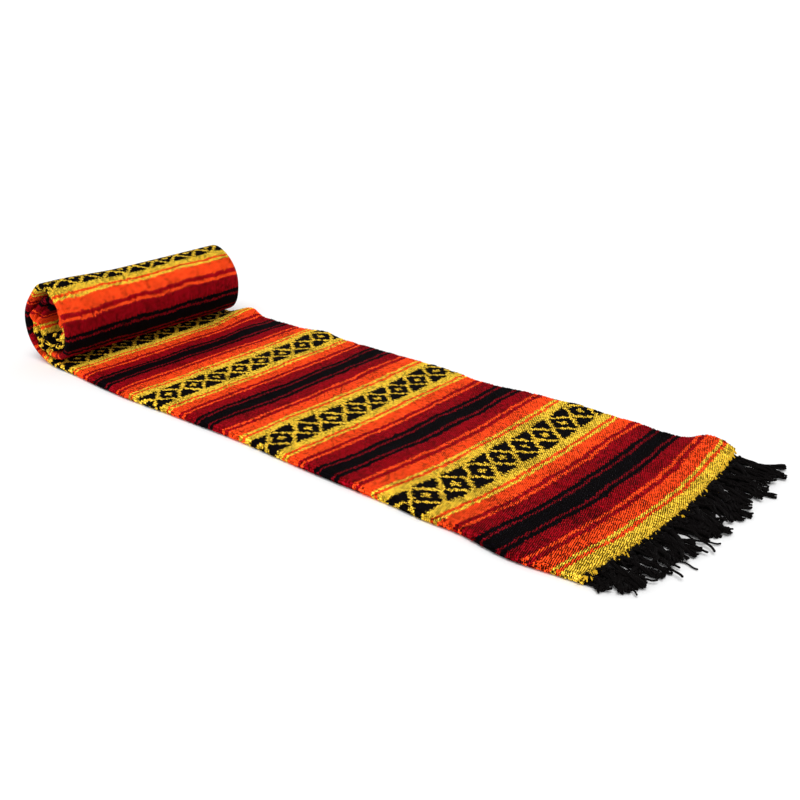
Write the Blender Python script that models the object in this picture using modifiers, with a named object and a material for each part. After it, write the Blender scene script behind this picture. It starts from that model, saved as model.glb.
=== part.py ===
# Folded and rolled serape: one striped blanket, folded lengthwise into a narrow stack of
# four plies, laid flat, with its far end rolled up on top of the flat run.
# Metres, +Z up. X runs across the folded width (the double fold at -X), Y along the blanket
# from the near fringe to the roll. The origin is below the middle of the whole thing.

import math

import bmesh
import bpy

# Driving dimensions
CUT_WIDTH = 1.44            # woven width, selvedge to selvedge
PLY_COUNT = 4               # halved, and halved again
PLY = 0.0025                # thickness of one ply of the cloth
GAP = 0.0003                # clearance between plies and between neighbouring pieces
RUN_LENGTH = 0.991          # flat part, near weft edge to the foot of the roll
ROLL_RADIUS = 0.0705        # outer turn, where it leaves the flat run
TURN_PITCH = 0.0145         # how much each turn closes in on the one before
TURNS = 3.55                # turns of cloth in the roll
FRINGE = 0.066              # longest reach of the near fringe
FAR_FRINGE_TURN = 0.6       # part of a turn that the far fringe fills in the core

# Smaller sizes
ROLL_WIDTH = 0.345          # the rolled end is drawn in a little
BOTTOM_INSET = 0.003        # bottom selvedge stops short of the right fold
TONGUE_INSET = 0.0015       # second selvedge stops short of the right fold
LIFT_REACH = 0.09           # how far in from the right fold its ripples reach
FOLD_SWELL = 0.0014         # extra opening of the right fold in the run
ROLL_FOLD_SWELL = 0.0004    # and in the roll, where it is pressed closer
SWELL_GAP = 0.0001          # the fold is lifted this much more than it is opened
NEAR_BOW = 0.016            # how far the near corners are drawn back
BOW_FADE = 0.15             # length over which that dies out
NARROWING = 0.12            # length over which the run narrows to the roll
CORE_FRINGE_DEPTH = 0.008   # thickness of the wound far fringe
END_GAP = 0.0004            # clearance between the run and the roll
TELESCOPE = 0.004           # how far each turn is pushed in at the left end of the roll
FRINGE_TOP = 0.009          # fringe height beside the cloth
FRINGE_TIP = 0.004          # fringe height at its tips

RUN_STATIONS = 37
TURN_STATIONS = 36          # sections in the outer turn
INNER_STEP = math.radians(20)
FLAT_STEPS = 4              # divisions across the flat of the stack
FOLD_STEPS = 6              # facets round the double fold
LIP_STEPS = 4               # facets round the right fold
FRINGE_STATIONS = 19

folded_width = CUT_WIDTH / PLY_COUNT
stack = PLY_COUNT * PLY + (PLY_COUNT - 1) * GAP
centre_x = folded_width / 2
centre_y = (RUN_LENGTH + ROLL_RADIUS - TURN_PITCH / 4 - FRINGE) / 2

# Ripples of the right fold: place along the run, lift, outward push, half length
RIGHT_RIPPLES = [
    dict(along=0.045, lift=0.0065, push=0.006, half=0.055),
    dict(along=0.235, lift=0.0040, push=0.003, half=0.050),
    dict(along=0.430, lift=0.0050, push=0.004, half=0.060),
    dict(along=0.735, lift=0.0040, push=0.003, half=0.055),
    dict(along=0.925, lift=0.0100, push=0.009, half=0.045),
]

# Slow in and out of the left fold: place along the run, outward push, half length
LEFT_SWELLS = [
    dict(along=0.080, push=0.004, half=0.090),
    dict(along=0.540, push=-0.003, half=0.150),
    dict(along=0.800, push=0.005, half=0.160),
]

# Lobes of the near fringe: place across, how much shorter than the full reach, half width
FRINGE_LOBES = [
    dict(across=0.020, short=0.022, half=0.045),
    dict(across=0.115, short=0.012, half=0.035),
    dict(across=0.205, short=0.018, half=0.040),
    dict(across=0.350, short=0.030, half=0.050),
]


def bump(distance, half):
    """Smooth hump of height 1, zero beyond half."""
    if abs(distance) >= half:
        return 0.0
    return math.cos(distance / half * math.pi / 2) ** 2


def ease(t):
    """Smooth step from 0 to 1."""
    t = min(max(t, 0.0), 1.0)
    return t * t * (3 - 2 * t)


def left_edge(along):
    return -sum(row["push"] * bump(along - row["along"], row["half"]) for row in LEFT_SWELLS)


def right_edge(along):
    narrowed = ease((along - RUN_LENGTH + NARROWING) / NARROWING) * (folded_width - ROLL_WIDTH)
    push = sum(row["push"] * bump(along - row["along"], row["half"]) for row in RIGHT_RIPPLES)
    return folded_width - narrowed + push


def fold_lift(along):
    return FOLD_SWELL + SWELL_GAP + sum(row["lift"] * bump(along - row["along"], row["half"])
                                        for row in RIGHT_RIPPLES)


def run_point(x, depth, along):
    """A section point of the flat run; depth is the height above the underside."""
    bow = NEAR_BOW * (2 * x / folded_width - 1) ** 2 * (1 - ease(along / BOW_FADE))
    return (x - centre_x, along + bow - centre_y, depth)


def turn_radius(angle):
    return ROLL_RADIUS - TURN_PITCH * angle / (2 * math.pi)


def roll_point(x, depth, angle):
    """A section point carried round the roll; angle 0 is the foot of the roll."""
    radius = turn_radius(angle) - depth
    return (x - centre_x,
            RUN_LENGTH + radius * math.sin(angle) - centre_y,
            ROLL_RADIUS - radius * math.cos(angle))


def arc(centre, radius, start, end, steps):
    """Points on an arc in the section plane, angles in degrees, both ends kept."""
    points = []
    for i in range(steps + 1):
        a = math.radians(start + (end - start) * i / steps)
        points.append((centre[0] + radius * math.cos(a), centre[1] + radius * math.sin(a)))
    return points


def across_flat(left, right, depth):
    """Evenly spaced inner points of a flat ply, from left to right."""
    return [(left + (right - left) * i / FLAT_STEPS, depth) for i in range(1, FLAT_STEPS)]


def outer_ply_line(left, right, lift, swell, lift_steps):
    """Middle of the cloth in section: bottom ply, double fold, top ply, right fold, second ply."""
    fold_centre = left + stack / 2
    start_x = folded_width - LIFT_REACH
    top = stack - PLY / 2
    line = [(right - BOTTOM_INSET, PLY / 2), (start_x, PLY / 2)]
    line += reversed(across_flat(fold_centre, start_x, PLY / 2))
    line += arc((fold_centre, stack / 2), (stack - PLY) / 2, 270, 90, FOLD_STEPS)
    line += across_flat(fold_centre, start_x, top)
    lip_radius = (PLY + GAP + swell) / 2
    lip_x = right - lip_radius - PLY / 2
    for i in range(lift_steps):
        t = i / lift_steps
        line.append((start_x + (lip_x - start_x) * t, top + lift * ease(t)))
    line += arc((lip_x, top + lift - lip_radius), lip_radius, 90, -90, LIP_STEPS)
    for i in reversed(range(lift_steps)):
        t = i / lift_steps
        under = top - PLY - GAP + (lift - swell) * ease(t)
        line.append((start_x + (lip_x - start_x) * t, under))
    return line


def hidden_plies_loop(left, right):
    """Plies two and three as one solid: rounded in the double fold, with the selvedge tongue."""
    inner = stack / 2 - PLY - GAP
    shoulder = folded_width - LIFT_REACH - GAP
    low = PLY + GAP
    high = stack - PLY - GAP
    tongue_top = low + PLY
    end = right - TONGUE_INSET
    loop = arc((left + stack / 2, stack / 2), inner, 270, 90, 4)
    loop += across_flat(left + stack / 2, shoulder, high)
    loop += [(shoulder, high), (shoulder, tongue_top)]
    loop += [(end - PLY / 4, tongue_top), (end, low + PLY / 2), (end - PLY / 4, low)]
    loop += [(shoulder, low)]
    loop += reversed(across_flat(left + stack / 2, shoulder, low))
    return loop


def full_stack_loop(left, right):
    """All four plies as one solid: rounded left, a fold and two selvedges on the right."""
    half = stack / 2
    loop = arc((left + half, half), half, 270, 90, 4)
    loop += across_flat(left + half, right - half, stack)
    loop += [(right - PLY / 2, stack), (right, stack - PLY)]
    loop += [(right - PLY, half), (right - PLY / 4, half - PLY / 2), (right - PLY / 4, PLY / 2)]
    loop += [(right - half, 0.0)]
    loop += reversed(across_flat(left + half, right - half, 0.0))
    return loop


def core_fringe_loop(left, right):
    """The far fringe wound in the core, as one plain band."""
    low = (stack - CORE_FRINGE_DEPTH) / 2
    high = low + CORE_FRINGE_DEPTH
    return [(left + low, low), (left, stack / 2), (left + low, high),
            (right - low, high), (right, stack / 2), (right - low, low)]


def make_material(name, colour, roughness):
    material = bpy.data.materials.new(name)
    material.use_nodes = True
    shader = material.node_tree.nodes["Principled BSDF"]
    shader.inputs["Base Color"].default_value = (*colour, 1)
    shader.inputs["Roughness"].default_value = roughness
    shader.inputs["Metallic"].default_value = 0
    return material


def add_object(name, points, faces, material):
    mesh = bpy.data.meshes.new(name)
    mesh.from_pydata(points, [], faces)
    build = bmesh.new()
    build.from_mesh(mesh)
    bmesh.ops.recalc_face_normals(build, faces=build.faces)
    build.to_mesh(mesh)
    build.free()
    mesh.materials.append(material)
    mesh.shade_smooth()
    mesh.set_sharp_from_angle(angle=math.radians(50))
    thing = bpy.data.objects.new(name, mesh)
    serape.objects.link(thing)
    return thing


def cloth_wall(name, rows, material):
    """Open surface through the rows of points, given the thickness of one ply."""
    count = len(rows[0])
    points = [point for row in rows for point in row]
    faces = []
    for r in range(len(rows) - 1):
        for c in range(count - 1):
            a = r * count + c
            faces.append((a, a + 1, a + count + 1, a + count))
    wall = add_object(name, points, faces, material)
    solidify = wall.modifiers.new("ply", "SOLIDIFY")
    solidify.thickness = PLY
    solidify.offset = 0
    solidify.use_even_offset = True
    return wall


def lofted_solid(name, loops, material):
    """Closed body through loops of equal count, with a cap at each end."""
    count = len(loops[0])
    points = [point for loop in loops for point in loop]
    faces = [tuple(range(count))]
    for r in range(len(loops) - 1):
        for c in range(count):
            a = r * count + c
            b = r * count + (c + 1) % count
            faces.append((a, b, b + count, a + count))
    last = (len(loops) - 1) * count
    faces.append(tuple(range(last, last + count)))
    return add_object(name, points, faces, material)


def make_run(material):
    rows = []
    loops = []
    for i in range(RUN_STATIONS):
        along = RUN_LENGTH * i / (RUN_STATIONS - 1)
        left = left_edge(along)
        right = right_edge(along)
        line = outer_ply_line(left, right, fold_lift(along), FOLD_SWELL, 4)
        rows.append([run_point(x, depth, along) for x, depth in line])
        loop = hidden_plies_loop(left, right)
        loops.append([run_point(x, depth, along) for x, depth in loop])
    cloth_wall("run_outer_ply", rows, material)
    lofted_solid("run_hidden_plies", loops, material)


def telescope(angle):
    """The outer turn is flush; each further turn sits deeper in the left end."""
    return TELESCOPE * max(angle / (2 * math.pi) - 1, 0.0)


def make_roll(material):
    full_turn = 2 * math.pi
    roll_lift = ROLL_FOLD_SWELL + SWELL_GAP
    start = END_GAP / ROLL_RADIUS
    end = full_turn - END_GAP / turn_radius(full_turn)
    rows = []
    loops = []
    for i in range(TURN_STATIONS + 1):
        angle = start + (end - start) * i / TURN_STATIONS
        line = outer_ply_line(0.0, ROLL_WIDTH, roll_lift, ROLL_FOLD_SWELL, 1)
        rows.append([roll_point(x, depth, angle) for x, depth in line])
        loop = hidden_plies_loop(0.0, ROLL_WIDTH)
        loops.append([roll_point(x, depth, angle) for x, depth in loop])
    cloth_wall("roll_outer_ply", rows, material)

    loop = hidden_plies_loop(0.0, ROLL_WIDTH)
    loops.append([roll_point(x, depth, full_turn) for x, depth in loop])
    first = 2 * full_turn - end
    last = full_turn * TURNS
    steps = math.ceil((last - first) / INNER_STEP)
    for i in range(steps + 1):
        angle = first + (last - first) * i / steps
        loop = full_stack_loop(telescope(angle), ROLL_WIDTH)
        loops.append([roll_point(x, depth, angle) for x, depth in loop])
    lofted_solid("roll_hidden_turns", loops, material)


def make_far_fringe(material):
    begin = 2 * math.pi * TURNS
    begin += END_GAP / (turn_radius(begin) - stack)
    end = begin + 2 * math.pi * FAR_FRINGE_TURN
    steps = math.ceil((end - begin) / INNER_STEP)
    loops = []
    for i in range(steps + 1):
        angle = begin + (end - begin) * i / steps
        loop = core_fringe_loop(telescope(angle), ROLL_WIDTH)
        loops.append([roll_point(x, depth, angle) for x, depth in loop])
    lofted_solid("fringe_far", loops, material)


def make_near_fringe(material):
    """The reach of the near fringe: a slab that thins from the weft edge to uneven tips."""
    loops = []
    for i in range(FRINGE_STATIONS):
        across = BOTTOM_INSET + (folded_width - 2 * BOTTOM_INSET) * i / (FRINGE_STATIONS - 1)
        short = sum(row["short"] * bump(across - row["across"], row["half"])
                    for row in FRINGE_LOBES)
        back = NEAR_BOW * (2 * across / folded_width - 1) ** 2 - 2 * GAP - centre_y
        tip = -FRINGE + short - centre_y
        middle = (back + tip) / 2
        x = across - centre_x
        loops.append([(x, back, 0.0), (x, back, FRINGE_TOP), (x, middle, FRINGE_TOP),
                      (x, tip, FRINGE_TIP), (x, tip, 0.0)])
    lofted_solid("fringe_near", loops, material)


for old in list(bpy.data.objects):
    bpy.data.objects.remove(old)

serape = bpy.data.collections.new("mexican_serape")
bpy.context.scene.collection.children.link(serape)

make_run(make_material("striped_weave_run", (0.42, 0.05, 0.02), 0.9))
make_roll(make_material("striped_weave_roll", (0.42, 0.08, 0.02), 0.9))
make_near_fringe(make_material("black_yarn_near", (0.012, 0.012, 0.014), 0.85))
make_far_fringe(make_material("black_yarn_far", (0.012, 0.012, 0.014), 0.85))
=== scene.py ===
import math

import bpy
import numpy as np
from mathutils import Matrix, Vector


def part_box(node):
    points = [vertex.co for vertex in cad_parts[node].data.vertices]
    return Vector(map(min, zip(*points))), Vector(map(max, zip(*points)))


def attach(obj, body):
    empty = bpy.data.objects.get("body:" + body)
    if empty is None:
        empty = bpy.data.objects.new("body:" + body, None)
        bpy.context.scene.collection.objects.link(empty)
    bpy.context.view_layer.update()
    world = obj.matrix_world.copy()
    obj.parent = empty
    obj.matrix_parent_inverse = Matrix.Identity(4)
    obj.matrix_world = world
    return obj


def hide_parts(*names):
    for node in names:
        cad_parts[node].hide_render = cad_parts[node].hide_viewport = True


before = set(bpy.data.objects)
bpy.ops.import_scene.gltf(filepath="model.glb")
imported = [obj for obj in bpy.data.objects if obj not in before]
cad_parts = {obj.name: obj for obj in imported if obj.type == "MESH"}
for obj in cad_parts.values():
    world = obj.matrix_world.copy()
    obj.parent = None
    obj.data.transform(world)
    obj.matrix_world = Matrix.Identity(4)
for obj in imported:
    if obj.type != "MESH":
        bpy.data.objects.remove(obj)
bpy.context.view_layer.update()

# The folded blanket, in metres: the same form as the solids that it covers
blanket = dict(
    foldedWidth=0.36, ply=0.0025, gap=0.0003, plies=4,
    runLength=0.991, rollWidth=0.345, rollRadius=0.0705, turnPitch=0.0145, turns=3.55,
    bottomInset=0.003, tongueInset=0.0015,      # how far the two selvedges stop short of the right fold
    liftReach=0.09, foldSwell=0.0015, rollFoldSwell=0.0005,
    nearBow=0.016, bowFade=0.15, narrowing=0.12,
    wall=0.0023,                                # thickness given to the cloth
)
stack = blanket["plies"] * blanket["ply"] + (blanket["plies"] - 1) * blanket["gap"]
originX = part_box("roll_outer_ply")[0].x                          # left fold of the folded blanket
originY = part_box("run_outer_ply")[1].y - blanket["runLength"]    # near weft edge at mid width

# Ripples of the right fold: place along the run, lift, outward push, half length
rightRipples = [
    dict(along=0.030, lift=0.0070, push=0.009, half=0.045),
    dict(along=0.100, lift=-0.0010, push=-0.004, half=0.055),
    dict(along=0.235, lift=0.0024, push=0.000, half=0.050),
    dict(along=0.390, lift=-0.0008, push=-0.008, half=0.095),
    dict(along=0.735, lift=0.0040, push=0.003, half=0.055),
    dict(along=0.925, lift=0.0100, push=0.009, half=0.045),
]

# Slow in and out of the left fold
leftSwells = [
    dict(along=0.090, push=0.0085, half=0.095),
    dict(along=0.215, push=0.002, half=0.050),
    dict(along=0.540, push=-0.003, half=0.150),
    dict(along=0.800, push=0.005, half=0.160),
]

# Creases of the run: centre across and along, heading in degrees from the weft, reach, half width
# and height
runCreases = [
    dict(x=0.060, y=0.050, heading=25, reach=0.060, half=0.016, height=0.0026),
    dict(x=0.150, y=0.095, heading=-18, reach=0.080, half=0.020, height=0.0020),
    dict(x=0.255, y=0.060, heading=12, reach=0.050, half=0.018, height=-0.0016),
    dict(x=0.300, y=0.150, heading=40, reach=0.070, half=0.020, height=0.0024),
    dict(x=0.050, y=0.190, heading=60, reach=0.070, half=0.018, height=-0.0020),
    dict(x=0.190, y=0.250, heading=8, reach=0.100, half=0.022, height=0.0018),
    dict(x=0.090, y=0.330, heading=-30, reach=0.070, half=0.020, height=0.0024),
    dict(x=0.270, y=0.345, heading=22, reach=0.080, half=0.022, height=-0.0018),
    dict(x=0.200, y=0.440, heading=-12, reach=0.090, half=0.020, height=0.0020),
    dict(x=0.060, y=0.500, heading=35, reach=0.060, half=0.018, height=0.0022),
    dict(x=0.300, y=0.560, heading=-40, reach=0.060, half=0.022, height=0.0022),
    dict(x=0.150, y=0.610, heading=15, reach=0.090, half=0.024, height=-0.0020),
    dict(x=0.250, y=0.690, heading=-15, reach=0.080, half=0.020, height=0.0022),
    dict(x=0.070, y=0.730, heading=20, reach=0.070, half=0.022, height=0.0020),
    dict(x=0.180, y=0.800, heading=-8, reach=0.100, half=0.022, height=0.0018),
    dict(x=0.290, y=0.860, heading=30, reach=0.070, half=0.024, height=0.0034),
    dict(x=0.090, y=0.880, heading=-20, reach=0.070, half=0.020, height=-0.0018),
]

# Creases of the roll: centre across, angle round the roll in degrees, reach across, half width in
# degrees and height
rollCreases = [
    dict(x=0.060, angle=160, reach=0.090, half=22, height=0.0018),
    dict(x=0.230, angle=195, reach=0.110, half=18, height=-0.0014),
    dict(x=0.120, angle=235, reach=0.100, half=16, height=0.0016),
    dict(x=0.300, angle=250, reach=0.080, half=20, height=0.0020),
    dict(x=0.060, angle=285, reach=0.080, half=16, height=-0.0016),
    dict(x=0.210, angle=310, reach=0.120, half=14, height=0.0016),
    dict(x=0.090, angle=60, reach=0.090, half=20, height=0.0016),
    dict(x=0.260, angle=100, reach=0.100, half=22, height=-0.0016),
    dict(x=0.170, angle=130, reach=0.100, half=16, height=0.0018),
    dict(x=0.000, angle=182, reach=0.150, half=36, height=0.0058),
    dict(x=0.010, angle=415, reach=0.080, half=14, height=-0.0030),
    dict(x=0.000, angle=450, reach=0.060, half=10, height=0.0026),
    dict(x=0.020, angle=492, reach=0.070, half=16, height=-0.0045),
    dict(x=0.010, angle=545, reach=0.080, half=18, height=-0.0050),
    dict(x=0.000, angle=600, reach=0.060, half=14, height=-0.0024),
    dict(x=0.010, angle=655, reach=0.060, half=12, height=0.0024),
    dict(x=0.340, angle=430, reach=0.080, half=20, height=-0.0026),
    dict(x=0.345, angle=560, reach=0.080, half=24, height=-0.0040),
    dict(x=0.340, angle=690, reach=0.080, half=20, height=-0.0024),
]

# Where the roll is out of round: angle in degrees, how far it stands out there, half width in degrees
rollSag = [
    dict(angle=62, out=0.0068, half=52),
    dict(angle=142, out=-0.0085, half=52),
    dict(angle=312, out=0.0030, half=40),
]

# Where the stripes fall on the roll: turns from its foot, and how many metres further along
# the cloth they lie than the winding gives
rollStripeShift = [
    dict(turn=0.00, shift=0.000), dict(turn=0.23, shift=0.000), dict(turn=0.42, shift=0.002),
    dict(turn=0.50, shift=0.006), dict(turn=0.56, shift=0.015), dict(turn=0.60, shift=0.018),
    dict(turn=0.81, shift=0.012), dict(turn=1.00, shift=0.020), dict(turn=1.20, shift=0.038),
    dict(turn=1.45, shift=0.052), dict(turn=1.75, shift=0.030), dict(turn=1.90, shift=0.030),
    dict(turn=2.00, shift=0.022), dict(turn=2.10, shift=0.002), dict(turn=2.25, shift=0.005),
    dict(turn=2.45, shift=0.030), dict(turn=3.60, shift=0.030),
]

# The same for the run: metres from the weft edge, and metres further along the cloth
runStripeShift = [
    dict(along=0.00, shift=0.012), dict(along=0.20, shift=0.012), dict(along=0.35, shift=0.005),
    dict(along=0.48, shift=0.004), dict(along=0.60, shift=-0.003), dict(along=0.75, shift=0.000),
    dict(along=1.00, shift=0.000),
]


# Smooth hump of height 1 that dies out at half: cosine squared
def hump(distance, half):
    inside = np.abs(distance) < half
    return np.where(inside, np.cos(distance / half * np.pi / 2) ** 2, 0.0)


# Smooth step from 0 to 1: 3t^2 - 2t^3
def ease(t):
    t = np.clip(t, 0.0, 1.0)
    return t * t * (3 - 2 * t)


# Sum of the humps of a table: each row's value times its hump at that place
def sumOf(rows, key, along):
    return sum(row[key] * hump(along - row["along"], row["half"]) for row in rows)


# Left fold of the run: 0, less the swells outwards
def leftEdge(along):
    return -sumOf(leftSwells, "push", along)


edgeWave = dict(height=0.0011, quick=0.0057, slow=0.0217)


# Right fold of the run: the folded width, eased in to the roll's, plus the ripples and a small wave that is
# the product of a quick and a slow sine
def rightEdge(along):
    narrowed = ease((along - blanket["runLength"] + blanket["narrowing"]) / blanket["narrowing"])
    wave = edgeWave["height"] * np.sin(along / edgeWave["quick"]) * np.sin(along / edgeWave["slow"])
    return (blanket["foldedWidth"] - narrowed * (blanket["foldedWidth"] - blanket["rollWidth"])
            + sumOf(rightRipples, "push", along) + wave)


# How far the weft edge lies back from its middle: a parabola across that fades along the run
def nearBow(x, along):
    fade = 1 - ease(along / blanket["bowFade"])
    return blanket["nearBow"] * (2 * x / blanket["foldedWidth"] - 1) ** 2 * fade


# Bow of the stripes on the run: width of each side from the middle, how far it bows, and where that fades
stripeCurve = dict(
    middle=0.19, steepest=1.1, leftWidth=0.19, leftBow=0.020, leftFrom=0.22, leftFade=0.55,
    rightWidth=0.17, rightBow=0.011, rightFade=0.16,
)


# How far each stripe lies back from its middle: squared on both sides, slower to fade on the left
def stripeBow(x, along):
    curve = stripeCurve
    left = np.clip((curve["middle"] - x) / curve["leftWidth"], 0, curve["steepest"]) ** 2
    right = np.clip((x - curve["middle"]) / curve["rightWidth"], 0, curve["steepest"]) ** 2
    leftLasts = 1 - ease((along - curve["leftFrom"]) / curve["leftFade"])
    rightLasts = 1 - ease(along / curve["rightFade"])
    return curve["leftBow"] * left * leftLasts + curve["rightBow"] * right * rightLasts


# Value of a table's column between its rows, by straight lines
def readTable(rows, place, column, at):
    return np.interp(at, [row[place] for row in rows], [row[column] for row in rows])


# Place on the flat cloth of a point of the run: its distance, shifted, less what the stripes bow past the
# weft edge
def runPlaceOnCloth(x, along):
    shifted = along + readTable(runStripeShift, "along", "shift", along)
    return shifted - (stripeBow(x, along) - nearBow(x, along))


# Sum of long soft ridges: a bell across each one and a cosine along it
def runCreaseHeight(x, y):
    total = np.zeros_like(x)
    for crease in runCreases:
        turn = math.radians(crease["heading"])
        alongIt = (x - crease["x"]) * math.cos(turn) + (y - crease["y"]) * math.sin(turn)
        acrossIt = -(x - crease["x"]) * math.sin(turn) + (y - crease["y"]) * math.cos(turn)
        bell = np.exp(-(acrossIt / crease["half"]) ** 2)
        total += crease["height"] * hump(alongIt, crease["reach"]) * bell
    return total


# The same on the roll: a bell in the angle and a cosine across
def rollCreaseHeight(x, angle):
    total = np.zeros_like(x)
    for crease in rollCreases:
        bell = np.exp(-((np.degrees(angle) - crease["angle"]) / crease["half"]) ** 2)
        total += crease["height"] * hump(x - crease["x"], crease["reach"]) * bell
    return total


pressedFold = dict(width=0.034, depth=0.26, even=0.60, uneven=0.40, slow=0.046, quick=0.019, start=0.7)


# How much the stack is pressed down beside the left fold: a parabola that is deeper in places
def foldPress(x, along):
    fold = pressedFold
    uneven = fold["even"] + (fold["uneven"] * np.sin(along / fold["slow"] + fold["start"])
                             * np.sin(along / fold["quick"]))
    return 1 - fold["depth"] * uneven * np.clip((fold["width"] - x) / fold["width"], 0, 1) ** 2


# Flat run: the section stands on the floor, and what lies higher in it rises more over a crease
def placeOnRun(x, depth, along):
    lift = runCreaseHeight(x, along) * np.clip(depth / stack, 0, 1.4)
    y = originY + along + nearBow(x, along)
    return np.stack([originX + x, y, depth * foldPress(x, along) + lift], -1)


# Crumpled left end of the inner turns: its reach, and the angles in radians where it starts and over which
# it grows
crumple = dict(reach=0.075, start=5.9, growth=0.9, sideways=0.0040, inward=0.0030)
creaseStart = 0.5    # angle by which the roll's creases have their whole height
sagInside = 0.25     # least share of the sag that the innermost turn keeps


# Roll: the section is carried round a spiral that closes in by one pitch a turn, underside outwards. The
# left end of the inner turns is crumpled by products of two sines of the angle.
def placeOnRoll(x, depth, angle):
    crumpled = ease((crumple["reach"] - x) / crumple["reach"])
    crumpled = crumpled * ease((angle - crumple["start"]) / crumple["growth"])
    x = x + crumple["sideways"] * crumpled * np.sin(8.3 * angle + 0.6) * np.sin(3.1 * angle + 2.0)
    depth = depth + crumple["inward"] * crumpled * np.sin(6.1 * angle + 1.0) * np.sin(2.3 * angle + 0.4)
    radius = blanket["rollRadius"] - blanket["turnPitch"] * angle / (2 * np.pi) - depth
    radius = radius + rollCreaseHeight(x, angle) * ease(angle / creaseStart)
    aroundRoll = np.degrees(angle) % 360
    sag = sum(row["out"] * hump(aroundRoll - row["angle"], row["half"]) for row in rollSag)
    radius = radius + sag * np.clip(radius / blanket["rollRadius"], sagInside, 1)
    return np.stack([originX + x,
                     originY + blanket["runLength"] + radius * np.sin(angle),
                     blanket["rollRadius"] - radius * np.cos(angle)], -1)


# Length of cloth from the foot of the roll to an angle: the radius times the angle, less the pitch times the
# angle squared over four pi
def woundLength(angle):
    return blanket["rollRadius"] * angle - blanket["turnPitch"] * angle ** 2 / (4 * np.pi)


# Place on the flat cloth of an angle of the roll: the run, the length wound by there and the shift
def clothAt(angle):
    shift = readTable(rollStripeShift, "turn", "shift", angle / (2 * np.pi))
    return blanket["runLength"] + woundLength(angle) + shift


# Evenly spaced points of a straight line, without its last
def straight(fromX, toX, fromDepth, toDepth, count):
    t = np.linspace(0, 1, count, endpoint=False)[None, :]
    return fromX + (toX - fromX) * t, fromDepth + (toDepth - fromDepth) * t


# Evenly spaced points of a circle between two angles in degrees, without its last
def arcRound(centreX, centreDepth, radius, start, end, count):
    angle = np.radians(np.linspace(start, end, count, endpoint=False))[None, :]
    return centreX + radius * np.cos(angle), centreDepth + radius * np.sin(angle)


# Distance along each section row, moved so that it equals x where the top ply begins
def acrossCloth(x, depth, topStart):
    step = np.hypot(np.diff(x, axis=1), np.diff(depth, axis=1))
    u = np.concatenate([np.zeros((len(x), 1)), np.cumsum(step, axis=1)], axis=1)
    return u - u[:, topStart:topStart + 1] + x[:, topStart:topStart + 1]


# Middle of the outer cloth in section, a row for each station: bottom ply from the right selvedge, half
# circle round the double fold, top ply, smooth lift to the right fold, half circle, and back under as the
# second ply
def outerSection(left, right, lift, swell, counts):
    ply, gap = blanket["ply"], blanket["gap"]
    column = np.zeros_like(left)
    top = stack - ply / 2
    foldX = left + stack / 2
    liftX = column + blanket["foldedWidth"] - blanket["liftReach"]
    lipRadius = (ply + gap + swell) / 2
    lipX = right - lipRadius - ply / 2
    selvedge = right - blanket["bottomInset"]
    parts = [straight(selvedge, foldX, column + ply / 2, column + ply / 2, counts["bottom"])]
    parts.append(arcRound(foldX, column + stack / 2, (stack - ply) / 2, 270, 90, counts["fold"]))
    parts.append(straight(foldX, liftX, column + top, column + top, counts["top"]))
    x, depth = straight(liftX, lipX, column, column + 1, counts["lift"])
    parts.append((x, top + lift * ease(depth)))
    parts.append(arcRound(lipX, top + lift - lipRadius, lipRadius, 90, -90, counts["lip"]))
    x, depth = straight(lipX, liftX, column + 1, column, counts["leg"])
    parts.append((x, top - ply - gap + (lift - swell) * ease(depth)))
    parts.append((liftX, column + top - ply - gap))
    x = np.concatenate([part[0] for part in parts], axis=1)
    depth = np.concatenate([part[1] for part in parts], axis=1)
    return x, depth, acrossCloth(x, depth, counts["bottom"] + counts["fold"])


# Plies two and three in section: on from the outer cloth's end, round inside the double fold and out
# to the selvedge
def innerSection(left, right, counts):
    ply, gap = blanket["ply"], blanket["gap"]
    column = np.zeros_like(left)
    high = stack - 1.5 * ply - gap
    low = 1.5 * ply + gap
    foldX = left + stack / 2
    liftX = column + blanket["foldedWidth"] - blanket["liftReach"]
    parts = [straight(liftX, foldX, column + high, column + high, counts["upper"])]
    parts.append(arcRound(foldX, column + stack / 2, (high - low) / 2, 90, 270, counts["fold"]))
    selvedge = right - blanket["tongueInset"]
    parts.append(straight(foldX, selvedge, column + low, column + low, counts["lower"]))
    parts.append((selvedge, column + low))
    x = np.concatenate([part[0] for part in parts], axis=1)
    depth = np.concatenate([part[1] for part in parts], axis=1)
    return x, depth, acrossCloth(x, depth, counts["upper"] + counts["fold"])


# Grid of points into a smooth mesh, with the place on the flat cloth in metres as its UV map
def gridMesh(name, points, u, v):
    rows, columns = u.shape
    index = np.arange(rows * columns).reshape(rows, columns)
    quads = np.stack([index[:-1, :-1], index[:-1, 1:], index[1:, 1:], index[1:, :-1]], -1).reshape(-1, 4)
    mesh = bpy.data.meshes.new(name)
    mesh.vertices.add(rows * columns)
    mesh.vertices.foreach_set("co", points.reshape(-1))
    mesh.loops.add(quads.size)
    mesh.loops.foreach_set("vertex_index", quads.reshape(-1))
    mesh.polygons.add(len(quads))
    mesh.polygons.foreach_set("loop_start", np.arange(len(quads)) * 4)
    mesh.update(calc_edges=True)
    corners = np.stack([u.reshape(-1), v.reshape(-1)], -1)[quads.reshape(-1)]
    mesh.uv_layers.new(name="cloth").data.foreach_set("uv", corners.reshape(-1))
    mesh.shade_smooth()
    return mesh


# A grid as one piece of cloth, given its thickness evenly to both sides
def addCloth(name, points, u, v, material):
    mesh = gridMesh(name, points, u, v)
    mesh.materials.append(material)
    piece = bpy.data.objects.new(name, mesh)
    bpy.context.scene.collection.objects.link(piece)
    wall = piece.modifiers.new("wall", "SOLIDIFY")
    wall.thickness = blanket["wall"]
    wall.offset = 0
    return piece


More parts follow.
